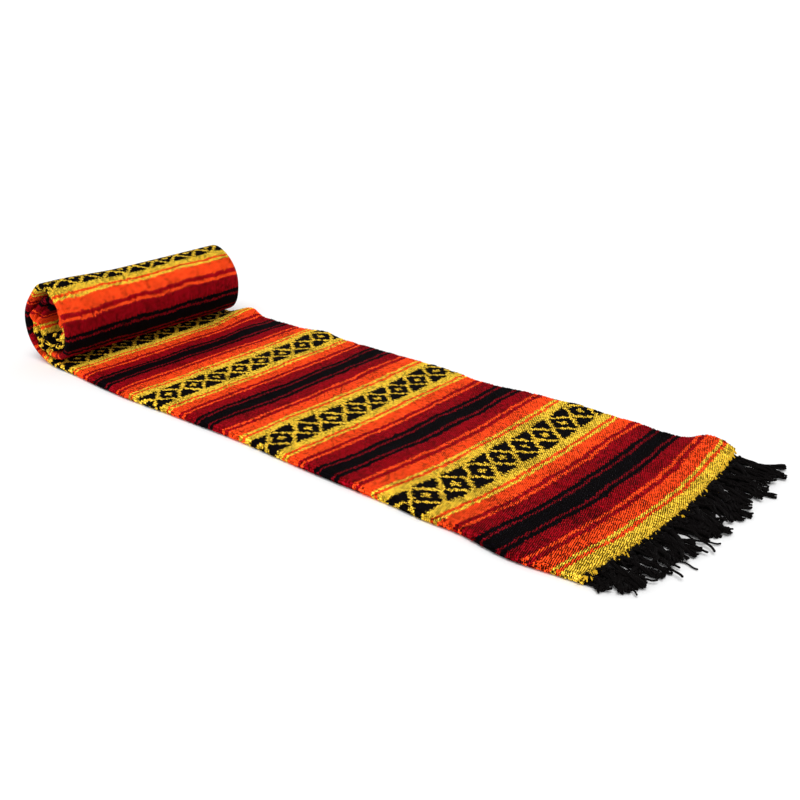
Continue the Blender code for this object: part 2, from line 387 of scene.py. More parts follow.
# Closed yarns in one mesh: a ring of sides at each point of each path, pulled to a pole at both ends.
# paths is yarns x points x 3 and radius is yarns x points. The UV map runs round and along each yarn, or
# holds the place on the cloth where one is given for each point.
def addYarns(name, paths, radius, sides, material, onCloth=None):
    yarns, count = paths.shape[:2]
    heading = np.gradient(paths, axis=1)
    heading /= np.linalg.norm(heading, axis=2, keepdims=True) + 1e-12
    side = np.cross(heading, np.array([0.31, 0.17, 0.935]))
    side /= np.linalg.norm(side, axis=2, keepdims=True) + 1e-12
    upward = np.cross(side, heading)
    turn = np.linspace(0, 2 * np.pi, sides, endpoint=False)
    around = (side[:, :, None, :] * np.cos(turn)[None, None, :, None]
              + upward[:, :, None, :] * np.sin(turn)[None, None, :, None])
    rings = paths[:, :, None, :] + around * radius[:, :, None, None]
    poles = np.stack([paths[:, 0] - heading[:, 0] * radius[:, :1] * 0.6,
                      paths[:, -1] + heading[:, -1] * radius[:, -1:] * 0.6], 1)
    each = count * sides + 2
    points = np.concatenate([rings.reshape(yarns, -1, 3), poles], axis=1).reshape(-1, 3)
    ring, corner = np.meshgrid(np.arange(count - 1), np.arange(sides), indexing="ij")
    nextCorner = (corner + 1) % sides
    quads = np.stack([ring * sides + corner, ring * sides + nextCorner,
                      (ring + 1) * sides + nextCorner, (ring + 1) * sides + corner], -1).reshape(-1, 4)
    edge = np.arange(sides)
    nextEdge = (edge + 1) % sides
    last = (count - 1) * sides
    caps = np.concatenate([np.stack([nextEdge, edge, edge * 0 + count * sides], -1),
                           np.stack([last + edge, last + nextEdge, edge * 0 + count * sides + 1], -1)])
    lengths = np.concatenate([np.zeros((yarns, 1)),
                              np.cumsum(np.linalg.norm(np.diff(paths, axis=1), axis=2), axis=1)], axis=1)
    quadU = np.stack([corner, corner + 1, corner + 1, corner], -1).reshape(-1) / sides
    quadRing = np.stack([ring, ring, ring + 1, ring + 1], -1).reshape(-1)
    capRing = np.concatenate([np.zeros(sides * 3, int), np.full(sides * 3, count - 1)])
    shift = (np.arange(yarns) * each)[:, None]
    loopVerts = np.concatenate([quads.reshape(1, -1) + shift, caps.reshape(1, -1) + shift], axis=1)
    loopU = np.tile(np.concatenate([quadU, np.zeros(sides * 6)]), yarns)
    loopV = np.concatenate([lengths[:, quadRing], lengths[:, capRing]], axis=1)
    if onCloth is not None:
        loopRing = np.concatenate([quadRing, capRing])
        loopU, loopV = onCloth[:, loopRing, 0].reshape(-1), onCloth[:, loopRing, 1]
    sizes = np.tile(np.concatenate([np.full(len(quads), 4), np.full(len(caps), 3)]), yarns)
    mesh = bpy.data.meshes.new(name)
    mesh.vertices.add(len(points))
    mesh.vertices.foreach_set("co", points.reshape(-1))
    mesh.loops.add(loopVerts.size)
    mesh.loops.foreach_set("vertex_index", loopVerts.reshape(-1))
    mesh.polygons.add(len(sizes))
    mesh.polygons.foreach_set("loop_start", np.concatenate([[0], np.cumsum(sizes)[:-1]]))
    mesh.update(calc_edges=True)
    places = np.stack([loopU, loopV.reshape(-1)], -1)
    mesh.uv_layers.new(name="cloth").data.foreach_set("uv", places.reshape(-1))
    mesh.shade_smooth()
    mesh.materials.append(material)
    piece = bpy.data.objects.new(name, mesh)
    bpy.context.scene.collection.objects.link(piece)
    return piece


# A colour given as 0 to 255 values, made linear
def linear(red, green, blue):
    value = np.array([red, green, blue]) / 255
    return (*np.where(value <= 0.04045, value / 12.92, ((value + 0.055) / 1.055) ** 2.4), 1.0)


dyes = dict(
    yellow=linear(238, 190, 46), orange=linear(252, 72, 20), darkRed=linear(141, 7, 14),
    thinRed=linear(114, 8, 15), brightRed=linear(152, 11, 15), black=linear(9, 6, 6),
)

# Half a repeat of the stripes, as shares of the whole repeat from the middle of the wide black
stripes = [
    ("black", 0.0), ("thinRed", 0.040), ("black", 0.058), ("darkRed", 0.083), ("orange", 0.168),
    ("brightRed", 0.190), ("orange", 0.218), ("yellow", 0.298), ("orange", 0.318), ("yellow", 0.339),
]

weave = dict(
    repeat=0.245, start=0.46,            # length of the repeat, and the share of it before the first black
    rib=0.0028, bead=0.0024, slant=-0.45,    # width of a rib, length of the bead over it, and its lean
    wander=0.0050, jitter=0.0024,        # slow and quick wandering of the stripes
    speckLength=0.03, ribStray=0.0016,   # stretch of a rib that strays as one, and how far
    stripeTeeth=0.0009, figureTeeth=0.0024,    # how far every other rib carries its colours on
    bumpDepth=0.0012,
)

# Diamonds of the yellow band: half the band as a share of the repeat, then lengths in metres up to stray, and
# the rest as shares of a figure's half width or of the half band
figures = dict(
    bandHalf=0.108, width=0.0442, shift=0.034, plainStart=0.03, stray=0.0100,
    slope=0.90, lineHalf=0.150, lozengeWidth=0.29, lozengeHeight=0.25, margin=0.96,
)


class Nodes:
    # Small helper that adds nodes to a material and joins them up
    def __init__(self, material):
        material.use_nodes = True
        self.tree = material.node_tree
        self.shader = self.tree.nodes["Principled BSDF"]

    # A node of a kind, with its settings
    def add(self, kind, **settings):
        node = self.tree.nodes.new(kind)
        for key, value in settings.items():
            setattr(node, key, value)
        return node

    # Into a socket goes a link or a plain value
    def feed(self, socket, value):
        if isinstance(value, bpy.types.NodeSocket):
            self.tree.links.new(value, socket)
        else:
            socket.default_value = value

    # One operation on up to three values; MULTIPLY_ADD is first times second plus third
    def math(self, operation, first, second=0.0, third=0.0):
        node = self.add("ShaderNodeMath", operation=operation)
        for socket, value in zip(node.inputs, (first, second, third)):
            self.feed(socket, value)
        return node.outputs[0]

    # Two colours mixed by a share
    def mix(self, share, first, second, blend="MIX"):
        node = self.add("ShaderNodeMix", data_type="RGBA", blend_type=blend)
        self.feed(node.inputs[0], share)
        self.feed(node.inputs[6], first)
        self.feed(node.inputs[7], second)
        return node.outputs[2]

    def vector(self, x, y, z=0.0):
        node = self.add("ShaderNodeCombineXYZ")
        for socket, value in zip(node.inputs, (x, y, z)):
            self.feed(socket, value)
        return node.outputs[0]

    def noise(self, vector, scale, detail=2.0):
        node = self.add("ShaderNodeTexNoise")
        self.feed(node.inputs["Vector"], vector)
        node.inputs["Scale"].default_value = scale
        node.inputs["Detail"].default_value = detail
        return node.outputs["Fac"]

    # One chance value for each pair of whole numbers
    def speck(self, vector):
        node = self.add("ShaderNodeTexWhiteNoise", noise_dimensions="2D")
        self.feed(node.inputs["Vector"], vector)
        return node.outputs["Value"]

    # Smooth step from 0 at low to 1 at high
    def between(self, value, low, high):
        node = self.add("ShaderNodeMapRange", interpolation_type="SMOOTHSTEP")
        self.feed(node.inputs["Value"], value)
        node.inputs["From Min"].default_value = low
        node.inputs["From Max"].default_value = high
        return node.outputs["Result"]


# Weft-faced weave: the cloth is cut into ribs across and beads along, each rib set half a bead off the
# next. A bead takes the colour of the stripe at its middle, and the black warp shows between loose beads.
def stripedWeave():
    material = bpy.data.materials.new("stripedWeave")
    n = Nodes(material)
    place = n.add("ShaderNodeUVMap", uv_map="cloth").outputs[0]
    split = n.add("ShaderNodeSeparateXYZ")
    n.feed(split.inputs[0], place)
    u, v = split.outputs[0], split.outputs[1]
    waver = n.math("MULTIPLY", n.noise(n.vector(u, n.math("MULTIPLY", v, 1.6), 0.7), 120, 1), 1.1)
    ribs = n.math("ADD", n.math("DIVIDE", u, weave["rib"]), waver)
    ribIndex = n.math("FLOOR", ribs)
    across = n.math("SUBTRACT", n.math("FRACT", ribs), 0.5)
    parity = n.math("FLOORED_MODULO", ribIndex, 2.0)
    lean = n.math("MULTIPLY", across, weave["slant"])
    uneven = n.math("MULTIPLY", n.noise(n.vector(u, v), 160, 1), 0.9)
    beads = n.math("ADD", n.math("ADD", n.math("DIVIDE", v, weave["bead"]), uneven),
                   n.math("MULTIPLY_ADD", parity, 0.5, lean))
    beadIndex = n.math("FLOOR", beads)
    alongBead = n.math("SUBTRACT", n.math("FRACT", beads), 0.5)
    middleV = n.math("SUBTRACT", v, n.math("MULTIPLY", alongBead, weave["bead"]))
    middleU = n.math("SUBTRACT", u, n.math("MULTIPLY", across, weave["rib"]))
    stretch = n.math("FLOOR", n.math("DIVIDE", v, weave["speckLength"]))
    ribSpeck = n.math("SUBTRACT", n.speck(n.vector(ribIndex, stretch)), 0.5)
    slow = n.math("SUBTRACT", n.noise(place, 15, 1), 0.5)
    quick = n.math("SUBTRACT", n.noise(place, 75, 1), 0.5)
    wandered = n.math("MULTIPLY_ADD", slow, 2 * weave["wander"],
                      n.math("MULTIPLY_ADD", quick, 2 * weave["jitter"],
                             n.math("MULTIPLY_ADD", parity, weave["stripeTeeth"],
                                    n.math("MULTIPLY_ADD", ribSpeck, weave["ribStray"], middleV))))
    repeats = n.math("SUBTRACT", n.math("DIVIDE", wandered, weave["repeat"]), weave["start"])
    fromBlack = n.math("SUBTRACT", n.math("FRACT", n.math("ADD", repeats, 0.5)), 0.5)
    ramp = n.add("ShaderNodeValToRGB")
    ramp.color_ramp.interpolation = "CONSTANT"
    ramp.color_ramp.elements[0].color = dyes[stripes[0][0]]
    ramp.color_ramp.elements.remove(ramp.color_ramp.elements[1])
    for dye, edge in stripes[1:]:
        ramp.color_ramp.elements.new(edge).color = dyes[dye]
    n.feed(ramp.inputs[0], n.math("ABSOLUTE", fromBlack))

    # Diamonds, with teeth on their edges where every other rib carries on. aside runs from 0 at a figure's
    # middle to 1 at the crossing of the lines, and outward from 0 at the band's middle to 1 at its margin.
    toothShare = (weave["figureTeeth"] - weave["stripeTeeth"]) / weave["repeat"]
    frayed = n.math("SUBTRACT", n.noise(n.vector(middleU, middleV, 0.3), 110, 1), 0.5)
    stray = n.math("MULTIPLY", frayed, figures["stray"])
    tooth = n.math("MULTIPLY_ADD", parity, toothShare, -toothShare / 2)
    toothed = n.math("FRACT", n.math("ADD", repeats, tooth))
    outward = n.math("ABSOLUTE", n.math("SUBTRACT", toothed, 0.5))
    outward = n.math("DIVIDE", outward, figures["bandHalf"])
    cell = n.math("ADD", n.math("ADD", middleU, stray), figures["shift"])
    cell = n.math("FRACT", n.math("DIVIDE", cell, figures["width"]))
    aside = n.math("MULTIPLY", n.math("ABSOLUTE", n.math("SUBTRACT", cell, 0.5)), 2.0)
    slope = n.math("MULTIPLY", n.math("SUBTRACT", 1.0, outward), figures["slope"])
    fromLine = n.math("ABSOLUTE", n.math("SUBTRACT", aside, slope))
    onLine = n.math("LESS_THAN", fromLine, figures["lineHalf"])
    lozenge = n.math("ADD", n.math("DIVIDE", aside, figures["lozengeWidth"]),
                     n.math("DIVIDE", outward, figures["lozengeHeight"]))
    lozenge = n.math("LESS_THAN", lozenge, 1.0)
    margin = n.math("GREATER_THAN", outward, figures["margin"])
    yellowPart = n.math("MAXIMUM", n.math("MAXIMUM", onLine, lozenge), margin)
    pastStart = n.math("GREATER_THAN", middleV, figures["plainStart"])
    inBand = n.math("MULTIPLY", n.math("LESS_THAN", outward, 1.0), pastStart)
    figureBlack = n.math("MULTIPLY", inBand, n.math("SUBTRACT", 1.0, yellowPart))
    dyed = n.mix(figureBlack, ramp.outputs[0], dyes["black"])

    # Bead profile, and the warp that shows at the ends of loose beads
    rounded = n.math("MULTIPLY", n.math("COSINE", n.math("MULTIPLY", across, 3.0)),
                     n.math("COSINE", n.math("MULTIPLY", alongBead, 2.9)))
    beadSpeck = n.speck(n.vector(ribIndex, beadIndex))
    nearEnd = n.between(v, 0.40, 0.0)
    leftSide = n.between(u, 0.20, 0.02)
    loose = n.math("MULTIPLY", n.math("SUBTRACT", n.noise(place, 20, 3), 0.50), 1.7)
    looser = n.math("MULTIPLY_ADD", nearEnd, n.math("MULTIPLY_ADD", leftSide, 0.26, 0.18),
                    n.math("MULTIPLY_ADD", beadSpeck, 1.0, -0.20))
    openness = n.math("ADD", loose, looser)
    fromEnd = n.math("SUBTRACT", 0.5, n.math("ABSOLUTE", alongBead))
    dotShape = n.math("ADD", n.math("POWER", n.math("DIVIDE", across, 0.34), 2.0),
                      n.math("POWER", n.math("DIVIDE", fromEnd, 0.30), 2.0))
    gapSeen = n.between(n.math("SUBTRACT", n.math("MULTIPLY", openness, 1.75), dotShape), -0.10, 0.12)

    # Uneven dyeing, bead by bead and in slow clouds, with painted shade in the grooves between beads and
    # lighter bead crowns
    cloud = n.noise(n.vector(u, n.math("MULTIPLY", v, 2.2)), 34, 3)
    fibre = n.noise(n.vector(u, n.math("MULTIPLY", v, 3.0)), 800, 2)
    # painted shade: the bead profile darkens the colour in the grooves between beads and lightens it on their
    # crowns
    paintedGrooveShade = n.between(rounded, -0.05, 0.75)
    patch = n.noise(n.vector(u, n.math("MULTIPLY", v, 1.5), 0.9), 240, 2)
    streak = n.math("MULTIPLY_ADD", ribSpeck, 0.36, n.math("MULTIPLY_ADD", parity, -0.16, 1.20))
    clouded = n.math("MULTIPLY_ADD", beadSpeck, -0.46, n.math("MULTIPLY_ADD", cloud, 0.36, streak))
    patched = n.math("MULTIPLY_ADD", patch, 0.22, n.math("MULTIPLY", fibre, 0.44))
    bright = n.math("ADD", clouded, patched)
    # tone is the random dyeing times the painted groove shade
    tone = n.math("MULTIPLY", bright, n.math("MULTIPLY_ADD", paintedGrooveShade, 0.98, 0.30))
    # blue and green follow the tone more steeply, so the painted light on the crowns turns paler and the
    # painted shade in the grooves deeper
    dyeAndShadeTint = n.vector(tone, n.math("POWER", tone, 1.12), n.math("POWER", tone, 1.9))
    shaded = n.mix(1.0, dyed, dyeAndShadeTint, "MULTIPLY")
    n.feed(n.shader.inputs["Base Color"], n.mix(gapSeen, shaded, dyes["black"]))

    relief = n.math("ADD", rounded, n.math("MULTIPLY_ADD", fibre, 0.35, n.math("MULTIPLY", gapSeen, -0.7)))
    bump = n.add("ShaderNodeBump")
    bump.inputs["Strength"].default_value = 1.0
    bump.inputs["Distance"].default_value = weave["bumpDepth"]
    n.feed(bump.inputs["Height"], relief)
    n.feed(n.shader.inputs["Normal"], bump.outputs[0])
    n.feed(n.shader.inputs["Roughness"], n.math("MULTIPLY_ADD", fibre, 0.16, 0.80))
    n.shader.inputs["Specular IOR Level"].default_value = 0.02
    return material


# Twisted yarn: slanting plies as a sine of the place along it and round it, and loose fibres. The colour
# follows the same sine, as painted shade in the grooves between the plies.
def twistedYarn(name, dye, sheen):
    material = bpy.data.materials.new(name)
    n = Nodes(material)
    split = n.add("ShaderNodeSeparateXYZ")
    n.feed(split.inputs[0], n.add("ShaderNodeUVMap", uv_map="cloth").outputs[0])
    twist = n.math("SINE", n.math("MULTIPLY_ADD", split.outputs[1], 2600.0,
                                  n.math("MULTIPLY", split.outputs[0], 4 * math.pi)))
    fibre = n.noise(n.add("ShaderNodeTexCoord").outputs["Object"], 1400, 2)
    # painted shade: the tone falls with the twist sine, darker where the bump sinks between the plies
    tone = n.math("MULTIPLY_ADD", fibre, 0.9, n.math("MULTIPLY_ADD", twist, 0.14, 0.55))
    n.feed(n.shader.inputs["Base Color"], n.mix(1.0, dye, n.vector(tone, tone, tone), "MULTIPLY"))
    bump = n.add("ShaderNodeBump")
    bump.inputs["Strength"].default_value = 0.8
    bump.inputs["Distance"].default_value = 0.0004
    n.feed(bump.inputs["Height"], n.math("MULTIPLY_ADD", fibre, 0.6, twist))
    n.feed(n.shader.inputs["Normal"], bump.outputs[0])
    n.feed(n.shader.inputs["Roughness"], n.math("MULTIPLY_ADD", fibre, 0.2, 0.7))
    n.shader.inputs["Specular IOR Level"].default_value = 0.06
    n.shader.inputs["Sheen Weight"].default_value = sheen
    n.shader.inputs["Sheen Roughness"].default_value = 0.4
    return material


striped = stripedWeave()
blackYarn = twistedYarn("blackYarn", dyes["black"], 0.006)
yellowYarn = twistedYarn("yellowYarn", dyes["yellow"], 0.02)
print("materials ready")

runGrid = dict(stations=232, bottom=44, fold=12, top=62, lift=24, lip=8, leg=14)
innerGrid = dict(stations=90, upper=26, fold=6, lower=34)
rollGrid = dict(stations=110, bottom=84, fold=12, top=40, lift=16, lip=6, leg=8)
turnGrid = dict(stations=150, bottom=44, fold=12, top=40, lift=14, lip=6, leg=8)


weftEdge = dict(ragged=0.0024, quick=0.0043, slow=0.0121, start=1.3, fade=0.006)
lipSlack = 0.0001    # how much less the ply under the right fold is lifted than the fold swells


# Flat run, outer cloth: the section at each station, and a weft edge that is ragged by two sines
def makeRunCloth():
    along = np.linspace(0, blanket["runLength"], runGrid["stations"])[:, None]
    lift = blanket["foldSwell"] + sumOf(rightRipples, "lift", along)
    x, depth, u = outerSection(leftEdge(along), rightEdge(along), lift,
                               blanket["foldSwell"] - lipSlack, runGrid)
    alongCloth = along + np.zeros_like(x)
    ragged = (weftEdge["ragged"] * np.sin(u / weftEdge["quick"])
              * np.sin(u / weftEdge["slow"] + weftEdge["start"]) * (1 - ease(along / weftEdge["fade"])))
    points = placeOnRun(x, depth, alongCloth + ragged)
    return addCloth("serapeRun", points, u, runPlaceOnCloth(x, alongCloth), striped)


# Flat run, second and third plies, from just behind the weft edge
def makeRunInnerPlies():
    along = np.linspace(0.001, blanket["runLength"], innerGrid["stations"])[:, None]
    x, depth, u = innerSection(leftEdge(along), rightEdge(along), innerGrid)
    alongCloth = along + np.zeros_like(x)
    points = placeOnRun(x, depth, alongCloth)
    return addCloth("serapeRunInnerPlies", points, u, runPlaceOnCloth(x, alongCloth), striped)


# Outer cloth of some turns of the roll, its left fold set back by insets
def makeTurns(name, angle, insets, grid):
    column = np.zeros_like(angle)
    x, depth, u = outerSection(insets, column + blanket["rollWidth"], column + blanket["rollFoldSwell"],
                               blanket["rollFoldSwell"] - lipSlack, grid)
    angleCloth = angle + np.zeros_like(x)
    return addCloth(name, placeOnRoll(x, depth, angleCloth), u - insets, clothAt(angleCloth), striped)


# Outermost turn of the roll, from its foot all the way round
def makeRollCloth():
    angle = np.linspace(0, 2 * np.pi, rollGrid["stations"])[:, None]
    return makeTurns("serapeRoll", angle, np.zeros_like(angle), rollGrid)


# How deep the left fold of an inner turn sits: turns counted from the foot of the roll
innerInsets = [
    dict(turn=1.00, inset=0.000), dict(turn=1.30, inset=0.004), dict(turn=1.55, inset=0.012),
    dict(turn=1.75, inset=0.002), dict(turn=1.95, inset=0.000), dict(turn=2.08, inset=0.004),
    dict(turn=2.20, inset=0.006), dict(turn=2.32, inset=0.009), dict(turn=2.42, inset=0.018),
    dict(turn=2.55, inset=0.028), dict(turn=2.68, inset=0.050), dict(turn=2.80, inset=0.042),
    dict(turn=2.93, inset=0.008),
    dict(turn=3.02, inset=0.012), dict(turn=3.12, inset=0.030), dict(turn=3.60, inset=0.050),
]


# The inset at each angle, by straight lines between the rows
def insetAt(angle):
    return readTable(innerInsets, "turn", "inset", angle / (2 * np.pi))


# Outer cloth of the second turn and the ones inside it
def makeInnerTurns():
    angle = np.linspace(2 * np.pi, 2 * np.pi * blanket["turns"], turnGrid["stations"])[:, None]
    return makeTurns("serapeInnerTurns", angle, insetAt(angle), turnGrid)


# Second and third plies of every turn, set back as the turns are from the second one on
def makeRollInnerPlies():
    angle = np.linspace(0, 2 * np.pi * blanket["turns"], 3 * innerGrid["stations"])[:, None]
    inset = np.where(angle > 2 * np.pi, insetAt(angle), 0.0)
    x, depth, u = innerSection(inset, np.zeros_like(angle) + blanket["rollWidth"], innerGrid)
    angleCloth = angle + np.zeros_like(x)
    points = placeOnRoll(x, depth, angleCloth)
    return addCloth("serapeRollInnerPlies", points, u, clothAt(angleCloth), striped)


runCloth = makeRunCloth()
runInnerPlies = makeRunInnerPlies()
rollCloth = makeRollCloth()
innerTurns = makeInnerTurns()
rollInnerPlies = makeRollInnerPlies()
print("cloth ready")

nearFringe = dict(
    bundles=28, plies=4, strands=6, points=20, sides=5, seed=11,
    yarnRadius=0.00115, knotAt=0.010, knotRadius=0.0021, knotYarn=0.0011, knotTurns=1.7,
    loose=36, margin=0.014,    # single loose yarns, and the bare ends of the weft edge together
)

# Clumps that the bundles draw together into: place across, length, lean towards the right fold in radians
fringeClumps = [
    dict(across=0.008, length=0.034, lean=-0.15), dict(across=0.034, length=0.050, lean=-0.30),
    dict(across=0.066, length=0.054, lean=-0.22), dict(across=0.098, length=0.050, lean=-0.05),
    dict(across=0.130, length=0.056, lean=-0.20), dict(across=0.163, length=0.052, lean=-0.02),
    dict(across=0.196, length=0.066, lean=-0.34), dict(across=0.228, length=0.064, lean=-0.12),
    dict(across=0.262, length=0.060, lean=-0.28), dict(across=0.293, length=0.070, lean=-0.20),
    dict(across=0.324, length=0.066, lean=0.02), dict(across=0.350, length=0.070, lean=-0.10),
]


# Rope path of each bundle over the floor: its heading turns slowly along it, and its steps are summed.
# heading and lengths have one row a bundle; height falls from the ply to the floor with a low hump.
def layBundles(startX, startY, startHeight, heading, bend, length, restHeight, rise, points):
    t = np.linspace(0, 1, points)[None, :]
    turned = heading[:, None] + bend[:, None] * t ** 1.5
    step = length[:, None] / (points - 1)
    x = startX[:, None] + np.cumsum(np.sin(turned) * step, axis=1) - np.sin(turned[:, :1]) * step
    y = startY[:, None] - np.cumsum(np.cos(turned) * step, axis=1) + np.cos(turned[:, :1]) * step
    settle = ease(t / 0.7)
    falling = startHeight[:, None] * (1 - settle) + restHeight[:, None] * settle
    return x, y, falling + rise[:, None] * np.sin(np.pi * t) ** 2, turned, t


# Each bundle gathers the warp ends of a stretch of the weft edge, is knotted, and runs on as a loose
# rope: its strands wind round the bundle's path, close at the knot and frayed at the tip.
def makeNearFringe():
    random = np.random.default_rng(nearFringe["seed"])
    bundles = nearFringe["bundles"] * nearFringe["plies"]
    strands, points = nearFringe["strands"], nearFringe["points"]
    ply = np.repeat(np.arange(nearFringe["plies"]), nearFringe["bundles"])
    order = np.tile(np.arange(nearFringe["bundles"]), nearFringe["plies"])
    spacing = (blanket["foldedWidth"] - nearFringe["margin"]) / nearFringe["bundles"]
    middle = nearFringe["margin"] / 2 + spacing * (order + 0.5 + random.uniform(-0.35, 0.35, bundles))
    clumps = np.array([[row["across"], row["length"], row["lean"]] for row in fringeClumps])
    nearest = clumps[np.argmin(np.abs(middle[:, None] - clumps[:, 0]), axis=1)]
    length = nearest[:, 1] * random.uniform(0.74, 1.06, bundles)
    heading = nearest[:, 2] + 0.95 * (nearest[:, 0] - middle) / length + random.normal(0, 0.15, bundles)
    plyHeight = blanket["ply"] * 0.5 + ply * (blanket["ply"] + blanket["gap"])
    x, y, z, turned, t = layBundles(
        originX + middle, originY + nearBow(middle, 0.0) + 0.003, plyHeight, heading,
        random.normal(0, 0.60, bundles), length, 0.0022 + 0.0010 * ply + random.uniform(0, 0.002, bundles),
        random.uniform(0, 0.003, bundles), points)

    shape = (bundles, strands)
    knotShare = nearFringe["knotAt"] * random.uniform(0.7, 1.9, bundles) / length
    gathered = ease(t / knotShare[:, None])[:, None, :]
    frayed = ease((t - 0.72) / 0.28)[:, None, :]
    phase = (2 * np.pi * np.arange(strands)[None, :] / strands + random.uniform(0, 6.28, shape))[:, :, None]
    twist = phase + (random.uniform(6, 12, bundles)[:, None] * t)[:, None, :]
    body = ease((t - knotShare[:, None]) / 0.15)[:, None, :]
    ring = (0.0008 + body * random.uniform(0.0001, 0.0009, shape)[:, :, None]
            + frayed * random.uniform(0.0, 0.0020, shape)[:, :, None])
    sideways = ring * 1.35 * np.cos(twist) * gathered
    start = np.linspace(-0.5, 0.5, strands)[None, :, None] * spacing * (1 - gathered)
    height = z[:, None, :] + 0.85 * ring * np.sin(twist) * gathered
    paths = np.stack([
        x[:, None, :] + sideways * np.cos(turned)[:, None, :] + start,
        y[:, None, :] + sideways * np.sin(turned)[:, None, :],
        np.clip(height, nearFringe["yarnRadius"], None)], -1)
    paths = paths.reshape(bundles * strands, points, 3)
    thickness = random.uniform(0.8, 1.2, (bundles * strands, 1))
    radius = nearFringe["yarnRadius"] * thickness * np.ones((1, points))

    # Loose ends that curl on their own over and past the bundles
    looseCount = nearFringe["loose"]
    looseMiddle = random.uniform(0.01, blanket["foldedWidth"] - 0.01, looseCount)
    looseX, looseY, looseZ = layBundles(
        originX + looseMiddle, originY + nearBow(looseMiddle, 0.0) + 0.002, np.full(looseCount, 0.009),
        random.normal(-0.1, 0.4, looseCount), random.normal(0, 1.0, looseCount),
        random.uniform(0.040, 0.068, looseCount), random.uniform(0.001, 0.007, looseCount),
        random.uniform(0, 0.004, looseCount), points)[:3]
    wave = 0.0016 * np.sin(t * random.uniform(8, 20, looseCount)[:, None]) * ease(t / 0.3)
    loosePaths = np.stack([looseX + wave, looseY, np.clip(looseZ, nearFringe["yarnRadius"], None)], -1)
    thickness = random.uniform(0.8, 1.3, (looseCount, 1))
    looseRadius = nearFringe["yarnRadius"] * thickness * np.ones((1, points))

    # Each knot is a yarn wound nearly twice round its bundle
    wind = np.linspace(0, 1, points)[None, :]
    wrap = wind * 2 * np.pi * nearFringe["knotTurns"] + random.uniform(0, 6.28, bundles)[:, None]
    at = np.clip(np.round(knotShare * (points - 1)).astype(int), 1, points - 3)
    row = np.arange(bundles)
    knotRadius = nearFringe["knotRadius"]
    aside = knotRadius * 1.3 * np.cos(wrap)
    knots = np.stack([
        x[row, at][:, None] + aside * np.cos(turned[row, at])[:, None],
        y[row, at][:, None] + 0.0026 * (wind - 0.5) + aside * np.sin(turned[row, at])[:, None],
        np.clip(z[row, at][:, None] + 0.0003 + knotRadius * np.sin(wrap), 0.0012, None)], -1)
    knotWidth = np.full((bundles, points), nearFringe["knotYarn"])
    return addYarns("nearFringe", np.concatenate([paths, loosePaths, knots]),
                    np.concatenate([radius, looseRadius, knotWidth]), nearFringe["sides"], blackYarn)


weftTufts = dict(count=210, points=5, sides=5, radius=0.00085, seed=5)


# Ends of the last wefts that poke out over the fringe: short straight yarns that lean along the edge and
# sink by the square of the distance
def makeWeftTufts():
    random = np.random.default_rng(weftTufts["seed"])
    count = weftTufts["count"]
    x = np.linspace(0.004, blanket["foldedWidth"] - 0.003, count) + random.uniform(-0.001, 0.001, count)
    length = random.uniform(0.0045, 0.0130, count) * (1 + 0.35 * np.sin(x / 0.0090))
    length[random.random(count) > 0.94] *= 1.4
    heading = random.normal(-1.05, 0.34, count)
    t = np.linspace(0, 1, weftTufts["points"])[None, :]
    lift = runCreaseHeight(x, 0 * x)
    liftEdge = (blanket["foldSwell"] + sumOf(rightRipples, "lift", 0.0)) * ease(
        (x - blanket["foldedWidth"] + blanket["liftReach"]) / blanket["liftReach"])
    top = (stack - 0.0007) * foldPress(x, 0.0) + lift + liftEdge
    paths = np.stack([
        originX + x[:, None] + np.sin(heading)[:, None] * length[:, None] * (t - 0.40),
        originY + nearBow(x, 0.0)[:, None] - np.cos(heading)[:, None] * length[:, None] * (t - 0.35),
        top[:, None] - (0.0012 + random.uniform(0, 0.0012, count)[:, None]) * t ** 2], -1)
    radius = weftTufts["radius"] * np.ones((count, weftTufts["points"]))
    return addYarns("weftTufts", paths, radius, weftTufts["sides"], yellowYarn)


foldBeads = dict(points=4, sides=5, radius=0.0012, reach=0.0014, proud=0.0004, seed=31)


